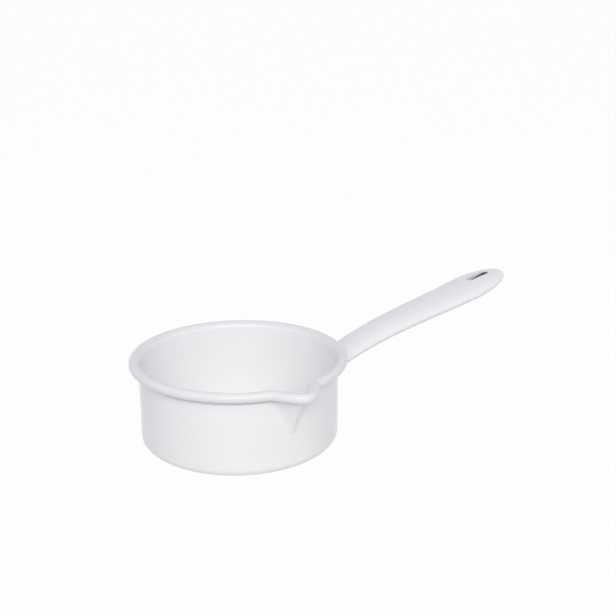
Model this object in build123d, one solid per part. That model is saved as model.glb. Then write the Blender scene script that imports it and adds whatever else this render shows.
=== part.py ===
from build123d import *
import os
from math import cos, hypot, radians, sin, sqrt

# Enamelled steel milk pan: one pressed pan body with a rolled rim and a pouring spout,
# and a hollow handle of two pressed half shells, welded to the wall.
# Millimetres, +Z up. The origin is the centre of the base, on the plane that the pan
# stands on. The handle runs along +X, the spout points along -Y.

# ---- pan body ----
bore_radius = 60.0            # inside of the wall
sheet = 1.2                   # steel with its enamel on both faces
pan_height = 53.9             # standing plane to the top of the rolled rim
base_corner_radius = 5.2      # outside, between wall and base
base_recess = 0.5             # the middle of the base stands clear of the hob
base_ring_width = 7.0         # flat ring that the pan stands on
base_step_width = 2.5         # slope from the ring up to the recess

# ---- rolled rim ----
roll_radius = 2.9             # outside of the curl
flare_radius = 4.0            # inside, where the wall turns outwards to the crest
curl_turn = 235.0             # how far the sheet is rolled over, from the crest

# ---- pouring spout ----
spout_bearing = -90.0         # from the handle, seen from above
spout_half_angle = 15.5       # at the rim
spout_foot_share = 0.2        # how much of that angle is left at the channel's foot
spout_reach = 12.8            # how far the lip stands out past the round rim
spout_depth = 27.0            # height of the channel pressed into the wall
spout_lean = 1.3              # 1 is a straight keel, more curves it outwards
spout_shoulder = 6.0          # length of the curve's pull at the shoulders
spout_nose = 6.7              # the same at the lip: larger is blunter
spout_levels = 6              # outlines between the wall and the rim
spout_stations = 8            # points along an outline, shoulder to shoulder

# ---- handle ----
handle_root_height = 31.4     # centre of the handle where it meets the wall
handle_root_slope = 25.2      # degrees above level
handle_tip_radius = 217.7     # pan axis to the end of the handle
handle_tip_height = 74.8      # centre of the handle's end
handle_tip_slope = 19.8
handle_root_pull = 64.0       # lengths of the spine curve's two tangents
handle_tip_pull = 60.0
handle_root_width = 21.8
handle_end_width = 33.0       # where the rounded end starts
handle_root_thickness = 10.0
handle_end_thickness = 11.8
handle_tip_length = 35.0      # rounded end
handle_sheet = 1.2
handle_sections = 8
root_weld = 2.6               # leg of the weld round the root

# ---- hanging slot ----
slot_length = 18.0
slot_width = 5.0
slot_from_tip = 21.7          # end of the handle to the middle of the slot
slot_collar = 1.0             # wall of the collar that lines the slot
slot_vent = 0.4               # gap under the collar, which vents the hollow

# ---- derived sizes ----
wall_radius = bore_radius + sheet
crest_radius = bore_radius + flare_radius
flare_base = pan_height - flare_radius
roll_centre = pan_height - roll_radius
spout_base = flare_base - spout_depth


def bezier_point(points, t):
    """Point on a cubic curve given by its four control points."""
    s = 1 - t
    return points[0] * s**3 + points[1] * 3 * s**2 * t + points[2] * 3 * s * t**2 + points[3] * t**3


def bezier_tangent(points, t):
    s = 1 - t
    return ((points[1] - points[0]) * s**2 + (points[2] - points[1]) * 2 * s * t
            + (points[3] - points[2]) * t**2).normalized()


def spout_width(share):
    """The spout's width where it has come out by a share of its reach; 1 is the rim."""
    return spout_foot_share + (1 - spout_foot_share) * share


def spout_curve(share):
    """Half of the bulge in the crest line, from a shoulder to the lip."""
    angle = radians(spout_half_angle * spout_width(share))
    shoulder = Vector(crest_radius * cos(angle), -crest_radius * sin(angle))
    along = Vector(sin(angle), cos(angle))
    shoulder_pull = along * spout_shoulder * spout_width(share)
    nose_pull = Vector(0, spout_nose * sqrt(share))
    lip = Vector(crest_radius + spout_reach * share, 0)
    return [shoulder, shoulder + shoulder_pull, lip - nose_pull, lip]


def spout_outline(share, inset):
    """The spout's share of the crest line, moved inwards by inset."""
    curve = spout_curve(share)
    half = []
    for i in range(spout_stations // 2 + 1):
        t = i / (spout_stations / 2)
        tangent = bezier_tangent(curve, t)
        half.append(bezier_point(curve, t) - Vector(tangent.Y, -tangent.X) * inset)
    points = half + [Vector(p.X, -p.Y) for p in reversed(half[:-1])]
    start = bezier_tangent(curve, 0)
    return Spline(*points, tangents=[start, Vector(-start.X, start.Y)])


def ring(z, share, inset):
    """Closed outline at height z: the crest line moved inwards by inset, round at share 0."""
    radius = crest_radius - inset
    half_angle = spout_half_angle * spout_width(share)
    if share > 0:
        spout = spout_outline(share, inset)
    else:
        spout = CenterArc((0, 0), radius, -half_angle, 2 * half_angle)
    around = CenterArc((0, 0), radius, half_angle, 360 - 2 * half_angle)
    return Pos(0, 0, z) * Rot(0, 0, spout_bearing) * Wire([spout, around])


def rim_profile():
    """The sheet's section from the wall over the crest and round the curl.

    X runs outwards from the roll's centre, Y up."""
    low = flare_base - roll_centre
    inner_roll = roll_radius - sheet
    inner_bend = flare_radius - sheet
    end = 90 - curl_turn
    outer_flare = CenterArc((0, low), flare_radius, 180, -90)
    outer_curl = CenterArc((0, 0), roll_radius, 90, -curl_turn)
    inner_curl = CenterArc((0, 0), inner_roll, end, curl_turn)
    inner_flare = CenterArc((0, low), inner_bend, 90, 90)
    curl_end = Line(outer_curl @ 1, inner_curl @ 0)
    foot = Line((-inner_bend, low), (-flare_radius, low))
    return make_face([outer_flare, outer_curl, curl_end, inner_curl, inner_flare, foot])


def rolled_rim():
    path = ring(roll_centre, 1, 0)
    start = path @ 0
    tangent = path % 0
    outwards = tangent.cross(Vector(0, 0, 1))
    section = Plane(origin=start, x_dir=outwards, z_dir=-tangent) * rim_profile()
    return sweep(section, path=path)


def wall_volume(rim, inset):
    """Everything inside one skin of the wall, from the spout's foot up to the rim.

    The top outline is the rim's own lower edge, so that the two meet."""
    radius = crest_radius - inset
    near = sheet / 4
    foot = rim.edges().filter_by_position(Axis.Z, flare_base - near, flare_base + near)
    rings = [ring(spout_base + spout_depth * i / spout_levels,
                  (i / spout_levels)**spout_lean, inset)
             for i in range(spout_levels)]
    skin = [edge for edge in foot if abs(hypot((edge @ 0).X, (edge @ 0).Y) - radius) < near]
    return Solid.make_loft([*rings, Wire(skin)])


def lower_body():
    """The base and the round part of the wall, turned about the pan's axis."""
    ring_inner = wall_radius - base_corner_radius - base_ring_width
    recess = ring_inner - base_step_width
    inner_corner = base_corner_radius - sheet
    floor = sheet
    outline = [
        Line((0, base_recess), (recess, base_recess)),
        Spline((recess, base_recess), (ring_inner, 0), tangents=[(1, 0), (1, 0)]),
        Line((ring_inner, 0), (wall_radius - base_corner_radius, 0)),
        CenterArc((wall_radius - base_corner_radius, base_corner_radius), base_corner_radius, -90, 90),
        Line((wall_radius, base_corner_radius), (wall_radius, spout_base)),
        Line((wall_radius, spout_base), (bore_radius, spout_base)),
        Line((bore_radius, spout_base), (bore_radius, base_corner_radius)),
        CenterArc((bore_radius - inner_corner, base_corner_radius), inner_corner, 0, -90),
        Line((bore_radius - inner_corner, floor), (ring_inner, floor)),
        Spline((ring_inner, floor), (recess, floor + base_recess), tangents=[(-1, 0), (-1, 0)]),
        Line((recess, floor + base_recess), (0, floor + base_recess)),
        Line((0, floor + base_recess), (0, base_recess)),
    ]
    return revolve(Plane.XZ * make_face(outline), Axis.Z)


def pan_body():
    rim = rolled_rim()
    wall = wall_volume(rim, flare_radius - sheet) - wall_volume(rim, flare_radius)
    return lower_body() + wall + rim


def handle_spine():
    """Centre line of the handle, from the face of the wall to the tip."""
    root = Vector(wall_radius, 0, handle_root_height)
    tip = Vector(handle_tip_radius, 0, handle_tip_height)
    root_turn, tip_turn = radians(handle_root_slope), radians(handle_tip_slope)
    rise = Vector(cos(root_turn), 0, sin(root_turn)) * handle_root_pull
    fall = Vector(cos(tip_turn), 0, sin(tip_turn)) * handle_tip_pull
    return Bezier(root, root + rise, tip - fall, tip)


def frame_at(distance):
    """Plane across the handle, this far along the spine from the wall.

    X runs across the pan, Y up through the handle, Z along the spine. Before the wall
    the spine goes on straight."""
    spine = handle_spine()
    on_spine = max(distance, 0)
    along = spine.tangent_at(on_spine, position_mode=PositionMode.LENGTH)
    point = spine.position_at(on_spine, position_mode=PositionMode.LENGTH)
    point += along * (distance - on_spine)
    return Plane(origin=point, x_dir=(0, 1, 0), z_dir=along)


def handle_volume(inset):
    """Everything inside one skin of the handle, with its root run into the wall."""
    straight = handle_spine().length - handle_tip_length
    lead = handle_root_width / 2
    faces = []
    for i in range(handle_sections + 1):
        distance = -lead + (straight + lead) * i / handle_sections
        share = distance / straight
        width = handle_root_width + (handle_end_width - handle_root_width) * share
        depth = handle_root_thickness + (handle_end_thickness - handle_root_thickness) * share
        faces.append(frame_at(distance) * Ellipse(width / 2 - inset, depth / 2 - inset))
    end = frame_at(straight)
    ball = scale(Sphere(1), by=(handle_end_width / 2 - inset, handle_end_thickness / 2 - inset,
                                handle_tip_length - inset))
    dome = split(ball, Plane.XY, keep=Keep.TOP)
    return loft(faces) + end * dome


def above_spine():
    """The space above the handle's middle, where its two shells part."""
    reach = handle_root_width
    start = frame_at(-reach)
    end = frame_at(handle_spine().length + reach)
    spine = handle_spine()
    low = [Line(start.origin, spine @ 0), spine, Line(spine @ 1, end.origin)]
    top = end.origin.Z + handle_end_width
    over = Polyline(end.origin, (end.origin.X, 0, top), (start.origin.X, 0, top), start.origin)
    return extrude(make_face([*low, *over.edges()]), handle_end_width, both=True, dir=(0, 1, 0))


def slot_prism(grow):
    """The hanging slot, right through the handle, made larger all round by grow."""
    middle = frame_at(handle_spine().length - slot_from_tip)
    across = Plane(origin=middle.origin, x_dir=middle.z_dir, z_dir=middle.y_dir)
    outline = SlotOverall(slot_length + 2 * grow, slot_width + 2 * grow)
    return extrude(across * outline, handle_end_thickness, both=True)


def pan_wall_space():
    """The round wall and all inside it, as a plain cylinder to trim against."""
    return Pos(0, 0, pan_height / 2) * Cylinder(wall_radius, pan_height)


def handle_shells(outer):
    shell = outer - handle_volume(handle_sheet) - pan_wall_space()
    upper_half = above_spine()
    slot = slot_prism(0)
    collar = slot_prism(slot_collar) & handle_volume(handle_sheet + slot_vent)
    neck = slot_prism(slot_collar) & outer & upper_half
    upper = (shell & upper_half) + collar + neck - slot
    lower = shell - upper_half - slot
    return upper, lower


def root_weld_bead(outer):
    """The fillet of weld in the corner between the handle's root and the wall."""
    wall = pan_wall_space()
    joined = wall + outer
    corner = [e for e in joined.edges() - wall.edges() if is_at_wall(e)]
    filled = fillet(corner, root_weld)
    return filled - wall - outer


def is_at_wall(edge):
    near = handle_sheet / 10
    ends = [edge.position_at(share) for share in (0, 0.25, 0.5, 0.75, 1)]
    return all(abs(hypot(p.X, p.Y) - wall_radius) < near for p in ends)


def main():
    outer = handle_volume(0)
    upper, lower = handle_shells(outer)
    nodes = {
        "pan_body": pan_body(),
        "handle_upper_shell": upper,
        "handle_lower_shell": lower,
        "handle_root_weld": root_weld_bead(outer),
    }
    os.makedirs("parts", exist_ok=True)
    for name, piece in nodes.items():
        export_step(piece, f"parts/{name}.step")


main()
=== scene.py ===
from math import cos, pi, radians, sin

import bpy
from mathutils import Euler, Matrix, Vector

# White enamelled milk pan in a pale studio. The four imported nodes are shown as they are,
# and this script gives them their enamel. Metres: the origin is the centre of the base,
# the handle runs along +X and the spout points along -Y.
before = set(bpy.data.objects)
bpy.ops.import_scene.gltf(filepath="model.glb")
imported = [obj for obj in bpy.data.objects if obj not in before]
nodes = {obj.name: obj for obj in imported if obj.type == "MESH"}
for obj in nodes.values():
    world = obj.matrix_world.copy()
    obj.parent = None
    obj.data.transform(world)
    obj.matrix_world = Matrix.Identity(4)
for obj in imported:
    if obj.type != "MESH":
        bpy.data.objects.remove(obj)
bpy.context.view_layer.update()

MM = 0.001

# ---- camera: where the photograph was taken from ----
VIEW_TURN = radians(-33.5)        # the handle points this far off to the right and back
CAMERA_DIP = radians(17.68)
CAMERA_DISTANCE = 597.9 * MM
AIM_RIGHT = 42.58 * MM            # where the view's middle passes the pan's axis
AIM_HEIGHT = 83.06 * MM
FOCAL_PIXELS = 987.6
FRAME_PIXELS = 616
SENSOR_WIDTH = 36.0
NEAREST, FARTHEST = 0.01, 200     # the floor runs on to the horizon

# ---- enamel: colours ----
WHITE = (0.92, 0.92, 0.924)
INSIDE_LIT_WHITE = (0.946, 0.946, 0.949)     # painted light: a lighter copy of the white inside the pan, where it is shaded
RIM_SHADE_WHITE = (0.85, 0.85, 0.86)           # painted shade: a greyer copy of the white on the roll, which faces the light
UNDER_RIM_SHADE = (0.74, 0.74, 0.755)    # painted shade on the outer wall just under the roll
HANDLE_WHITE = (0.90, 0.90, 0.908)
SLOT_SHADE_DARK = (0.10, 0.10, 0.115)        # painted shade: dark colour on the walls deep in the hanging slot

# ---- enamel: surface; scales are noise cells per metre ----
CLOUD_SCALE = 28                  # faint cloud in the white
CLOUD_SHADE = 0.985               # how dark it gets
MOTTLE_SCALE = 260                # over the weld
GLOSS_SCALE = 90
SMOOTHEST, ROUGHEST = 0.10, 0.17
WAVE_SCALE = 34                   # ripple of the pressed sheet
WAVE_STRENGTH = 0.35
WAVE_HEIGHT = 0.4 * MM
PEEL_SCALE = 420                  # orange peel
PEEL_STRENGTH = 0.10
PEEL_HEIGHT = 0.06 * MM
EDGE_HEIGHT = 0.8 * MM            # the slot's edge is rounded by the coat
ENAMEL_IOR = 1.5
ENAMEL_SPECULAR = 0.3

# ---- pan: where its white changes, with painted light and shade ----
BORE_RADIUS = 60.0 * MM
SHEET = 1.2 * MM
RIM_TOP = 53.9 * MM
ROLL_BASE = RIM_TOP - 5.1 * MM
ROLL_FADE = 1.5 * MM
CORNER_TOP = RIM_TOP - 5.7 * MM   # the band of painted shade on the wall under the roll
CORNER_BASE = RIM_TOP - 9.2 * MM
CORNER_TOP_FADE = 0.5 * MM
CORNER_BASE_FADE = 1.7 * MM

# ---- hanging slot ----
SLOT_CENTRE = (197.04 * MM, 0, 68.19 * MM)
SLOT_TILT = radians(15.76)        # nose up, along the handle
SLOT_HALF_STRAIGHT = 6.5 * MM     # between the middles of the round ends
SLOT_HALF_WIDTH = 2.5 * MM
SLOT_HALF_DEPTH = 5.9 * MM
SLOT_EDGE_WIDTH = 0.9 * MM
SLOT_WHITE_DEPTH = 2.5 * MM       # the white reaches this far in
SLOT_SHADE_DEPTH = 2.9 * MM        # and the painted shade is full from here
SLOT_LEAN = 0.015                 # the painted shade comes nearer the top towards the handle's end

# ---- studio ----
AMBIENT = 0.588                   # the studio's level
AMBIENT_SWING = 0.148             # how much more comes from the camera's side
AMBIENT_COLOUR = (0.905, 0.913, 1.0)
LAMP_COLOUR = (1.0, 0.988, 0.92)
LAMP_AIM = Vector((30, 0, 40)) * MM
FLOOR_HALF_SIZE = 60.0
FLOOR_COLOUR = (0.70, 0.70, 0.70)
FLOOR_WHITE_SHARE = 0.97          # the rest keeps the pan's shadow
FLOOR_GAP = 0.05 * MM             # just clear of the ring that the pan stands on


def facing_camera(dip):
    """Direction from the pan to the camera's side, raised by dip."""
    return Euler((0, 0, VIEW_TURN)).to_matrix() @ Vector((0, -cos(dip), sin(dip)))


def add_camera():
    data = bpy.data.cameras.new("camera")
    data.sensor_width = SENSOR_WIDTH
    data.lens = FOCAL_PIXELS / FRAME_PIXELS * SENSOR_WIDTH
    data.clip_start = NEAREST
    data.clip_end = FARTHEST
    camera = bpy.data.objects.new("camera", data)
    bpy.context.scene.collection.objects.link(camera)
    aim = Euler((0, 0, VIEW_TURN)).to_matrix() @ Vector((AIM_RIGHT, 0, AIM_HEIGHT))
    camera.location = aim + facing_camera(CAMERA_DIP) * CAMERA_DISTANCE
    camera.rotation_euler = (pi / 2 - CAMERA_DIP, 0, VIEW_TURN)
    bpy.context.scene.camera = camera


# ---- node helpers ----
def new_material(name):
    material = bpy.data.materials.new(name)
    material.use_nodes = True
    tree = material.node_tree
    tree.nodes.clear()
    out = tree.nodes.new("ShaderNodeOutputMaterial")
    return material, tree, out


def calc(tree, operation, first, second=0.0):
    """A Math node on two numbers or sockets."""
    node = tree.nodes.new("ShaderNodeMath")
    node.operation = operation
    for socket, value in zip(node.inputs, (first, second)):
        if isinstance(value, (int, float)):
            socket.default_value = value
        else:
            tree.links.new(value, socket)
    return node.outputs[0]


def times(tree, first, second):
    return calc(tree, "MULTIPLY", first, second)


def length(tree, first, second):
    squares = calc(tree, "ADD", times(tree, first, first), times(tree, second, second))
    return calc(tree, "SQRT", squares)


def axes(tree, vector):
    node = tree.nodes.new("ShaderNodeSeparateXYZ")
    tree.links.new(vector, node.inputs["Vector"])
    return node.outputs


def map_range(tree, value, source, target):
    """Maps the source pair of numbers onto the target pair, and clamps."""
    node = tree.nodes.new("ShaderNodeMapRange")
    node.inputs["From Min"].default_value, node.inputs["From Max"].default_value = source
    node.inputs["To Min"].default_value, node.inputs["To Max"].default_value = target
    tree.links.new(value, node.inputs["Value"])
    return node


def spread(tree, value, low, high):
    """Spreads a noise, which lies mostly from 0.3 to 0.7, over low to high."""
    return map_range(tree, value, (0.3, 0.7), (low, high)).outputs["Result"]


def step(tree, value, zero_at, one_at):
    """A soft step: 0 where value is zero_at, 1 where it is one_at."""
    target = (0, 1) if zero_at < one_at else (1, 0)
    node = map_range(tree, value, sorted((zero_at, one_at)), target)
    node.interpolation_type = "SMOOTHSTEP"
    return node.outputs["Result"]


def noise(tree, coords, scale, detail=2.0, rough=0.5):
    node = tree.nodes.new("ShaderNodeTexNoise")
    node.inputs["Scale"].default_value = scale
    node.inputs["Detail"].default_value = detail
    node.inputs["Roughness"].default_value = rough
    tree.links.new(coords, node.inputs["Vector"])
    return node.outputs["Fac"]


def mix_colour(tree, factor, first, second):
    node = tree.nodes.new("ShaderNodeMix")
    node.data_type = "RGBA"
    tree.links.new(factor, node.inputs["Factor"])
    for socket, value in ((node.inputs["A"], first), (node.inputs["B"], second)):
        if isinstance(value, tuple):
            socket.default_value = (*value, 1)
        else:
            tree.links.new(value, socket)
    return node.outputs["Result"]


def darken(tree, colour, share):
    """Multiplies a colour by a single number."""
    node = tree.nodes.new("ShaderNodeVectorMath")
    node.operation = "SCALE"
    tree.links.new(colour, node.inputs["Vector"])
    tree.links.new(share, node.inputs["Scale"])
    return node.outputs["Vector"]


def bump(tree, height, strength, distance, normal=None):
    node = tree.nodes.new("ShaderNodeBump")
    node.inputs["Strength"].default_value = strength
    node.inputs["Distance"].default_value = distance
    tree.links.new(height, node.inputs["Height"])
    if normal is not None:
        tree.links.new(normal, node.inputs["Normal"])
    return node.outputs["Normal"]


# ---- enamel; each paint returns its colour and, for the handle, the slot's edge ----
def pan_white(tree, coords):
    """Lighter inside as painted light, and greyer on the rolled rim and just under it as
    painted shade.
    """
    place = axes(tree, coords)
    height = place["Z"]
    radius = length(tree, place["X"], place["Y"])
    inside = step(tree, radius, BORE_RADIUS + 0.75 * SHEET, BORE_RADIUS + 0.25 * SHEET)
    # painted shade: the greyer white on the roll, from the rim's top down to ROLL_BASE
    roll = times(tree, step(tree, height, ROLL_BASE, ROLL_BASE + ROLL_FADE),
                 step(tree, radius, BORE_RADIUS, BORE_RADIUS + SHEET))
    # painted shade: a grey band on the outer wall, under the roll
    under_rim_shade_mask = times(tree, step(tree, height, CORNER_BASE, CORNER_BASE + CORNER_BASE_FADE),
                   step(tree, height, CORNER_TOP, CORNER_TOP - CORNER_TOP_FADE))
    under_rim_shade_mask = times(tree, under_rim_shade_mask, calc(tree, "SUBTRACT", 1.0, inside))
    # painted light: the lighter white inside the pan
    body = mix_colour(tree, inside, WHITE, INSIDE_LIT_WHITE)
    body = mix_colour(tree, under_rim_shade_mask, body, UNDER_RIM_SHADE)
    return mix_colour(tree, roll, body, RIM_SHADE_WHITE), None


def weld_white(tree, coords):
    """The white over the weld, a little mottled."""
    mottle = noise(tree, coords, MOTTLE_SCALE)
    # the mottle's darker tone is the grey of the rim's painted shade
    return mix_colour(tree, mottle, HANDLE_WHITE, RIM_SHADE_WHITE), None


def slot_distance(tree, coords):
    """How far a point is from the slot's middle line, and how deep it lies in the slot."""
    place = tree.nodes.new("ShaderNodeMapping")
    place.vector_type = "TEXTURE"
    place.inputs["Location"].default_value = SLOT_CENTRE
    place.inputs["Rotation"].default_value = (0, -SLOT_TILT, 0)
    tree.links.new(coords, place.inputs["Vector"])
    local = axes(tree, place.outputs["Vector"])
    past_end = calc(tree, "SUBTRACT", calc(tree, "ABSOLUTE", local["X"]), SLOT_HALF_STRAIGHT)
    away = length(tree, calc(tree, "MAXIMUM", past_end, 0.0), local["Y"])
    depth = calc(tree, "SUBTRACT", SLOT_HALF_DEPTH, calc(tree, "ABSOLUTE", local["Z"]))
    return away, calc(tree, "ADD", depth, times(tree, local["X"], SLOT_LEAN))


def handle_white(tree, coords):
    """White, with painted shade deep in the slot."""
    away, depth = slot_distance(tree, coords)
    lining = step(tree, away, SLOT_HALF_WIDTH + 0.35 * MM, SLOT_HALF_WIDTH + 0.05 * MM)
    # painted shade: dark on the slot's walls below the white depth
    slot_shade_mask = times(tree, lining, step(tree, depth, SLOT_WHITE_DEPTH, SLOT_SHADE_DEPTH))
    edge = step(tree, away, SLOT_HALF_WIDTH, SLOT_HALF_WIDTH + SLOT_EDGE_WIDTH)
    return mix_colour(tree, slot_shade_mask, HANDLE_WHITE, SLOT_SHADE_DARK), edge


def enamel(name, paint, ripple):
    """Glossy vitreous enamel over a paint, with a faint cloud, orange peel and ripple."""
    material, tree, out = new_material(name)
    shader = tree.nodes.new("ShaderNodeBsdfPrincipled")
    coords = tree.nodes.new("ShaderNodeTexCoord").outputs["Object"]
    white, edge = paint(tree, coords)
    cloud = spread(tree, noise(tree, coords, CLOUD_SCALE, detail=3), CLOUD_SHADE, 1)
    tree.links.new(darken(tree, white, cloud), shader.inputs["Base Color"])
    gloss = noise(tree, coords, GLOSS_SCALE, detail=4, rough=0.6)
    tree.links.new(spread(tree, gloss, SMOOTHEST, ROUGHEST), shader.inputs["Roughness"])
    wave = noise(tree, coords, WAVE_SCALE, detail=1)
    normal = bump(tree, wave, WAVE_STRENGTH * ripple, WAVE_HEIGHT)
    normal = bump(tree, noise(tree, coords, PEEL_SCALE), PEEL_STRENGTH, PEEL_HEIGHT, normal)
    if edge is not None:
        normal = bump(tree, edge, 1.0, EDGE_HEIGHT, normal)
    tree.links.new(normal, shader.inputs["Normal"])
    shader.inputs["IOR"].default_value = ENAMEL_IOR
    shader.inputs["Specular IOR Level"].default_value = ENAMEL_SPECULAR
    tree.links.new(shader.outputs["BSDF"], out.inputs["Surface"])
    return material


def dress(node, material):
    mesh = nodes[node].data
    mesh.materials.clear()
    mesh.materials.append(material)


# ---- floor, world and lamps ----
def white_when_seen(tree, out, shader, white, share):
    """Mixes plain white in for rays that see the surface as background."""
    path = tree.nodes.new("ShaderNodeLightPath").outputs
    seen = calc(tree, "MAXIMUM", path["Is Camera Ray"], path["Is Glossy Ray"])
    seen = calc(tree, "MAXIMUM", seen, path["Is Transmission Ray"])
    white.inputs["Color"].default_value = (1, 1, 1, 1)
    white.inputs["Strength"].default_value = 1
    mix = tree.nodes.new("ShaderNodeMixShader")
    tree.links.new(times(tree, seen, share), mix.inputs[0])
    tree.links.new(shader.outputs[0], mix.inputs[1])
    tree.links.new(white.outputs[0], mix.inputs[2])
    tree.links.new(mix.outputs[0], out.inputs["Surface"])


def add_floor():
    size = FLOOR_HALF_SIZE
    mesh = bpy.data.meshes.new("floor")
    corners = [(-size, -size, 0), (size, -size, 0), (size, size, 0), (-size, size, 0)]
    mesh.from_pydata(corners, [], [(0, 1, 2, 3)])
    floor = bpy.data.objects.new("floor", mesh)
    bpy.context.scene.collection.objects.link(floor)
    material, tree, out = new_material("floor_white")
    plain = tree.nodes.new("ShaderNodeBsdfDiffuse")
    plain.inputs["Color"].default_value = (*FLOOR_COLOUR, 1)
    white = tree.nodes.new("ShaderNodeEmission")
    white_when_seen(tree, out, plain, white, FLOOR_WHITE_SHARE)
    mesh.materials.append(material)
    floor.location.z = -FLOOR_GAP


def add_world():
    world = bpy.data.worlds.new("studio")
    bpy.context.scene.world = world
    world.use_nodes = True
    tree = world.node_tree
    tree.nodes.clear()
    out = tree.nodes.new("ShaderNodeOutputWorld")
    ambient = tree.nodes.new("ShaderNodeBackground")
    ambient.inputs["Color"].default_value = (*AMBIENT_COLOUR, 1)
    facing = tree.nodes.new("ShaderNodeVectorMath")
    facing.operation = "DOT_PRODUCT"
    facing.inputs[1].default_value = facing_camera(0)
    sky = tree.nodes.new("ShaderNodeTexCoord").outputs["Generated"]
    tree.links.new(sky, facing.inputs[0])
    swing = times(tree, facing.outputs["Value"], AMBIENT_SWING)
    tree.links.new(calc(tree, "ADD", swing, AMBIENT), ambient.inputs["Strength"])
    white = tree.nodes.new("ShaderNodeBackground")
    white_when_seen(tree, out, ambient, white, 1.0)


def add_softbox(name, bearing, height, distance, size, radiance):
    """A softbox aimed at the pan; bearing is from the camera's own side, left below zero."""
    data = bpy.data.lights.new(name, "AREA")
    data.shape = "RECTANGLE"
    data.size, data.size_y = size
    data.energy = radiance * pi * size[0] * size[1]
    data.color = LAMP_COLOUR
    light = bpy.data.objects.new(name, data)
    bpy.context.scene.collection.objects.link(light)
    turn = Euler((0, 0, radians(bearing))).to_matrix()
    light.location = turn @ facing_camera(radians(height)) * distance
    aim = LAMP_AIM - light.location
    light.rotation_euler = aim.to_track_quat("-Z", "Y").to_euler()


def main():
    add_camera()
    add_world()
    add_floor()
    add_softbox("softbox_front", bearing=8, height=33, distance=2.0, size=(1.6, 0.55),
                radiance=5.9)
    add_softbox("softbox_key", bearing=-12, height=52, distance=1.5, size=(0.3, 0.22),
                radiance=3.5)
    handle = enamel("handle_enamel", handle_white, ripple=0.6)
    dress("pan_body", enamel("pan_enamel", pan_white, ripple=1.0))
    dress("handle_upper_shell", handle)
    dress("handle_lower_shell", handle)
    dress("handle_root_weld", enamel("weld_enamel", weld_white, ripple=1.6))
    bpy.context.scene.view_settings.view_transform = "Standard"


main()
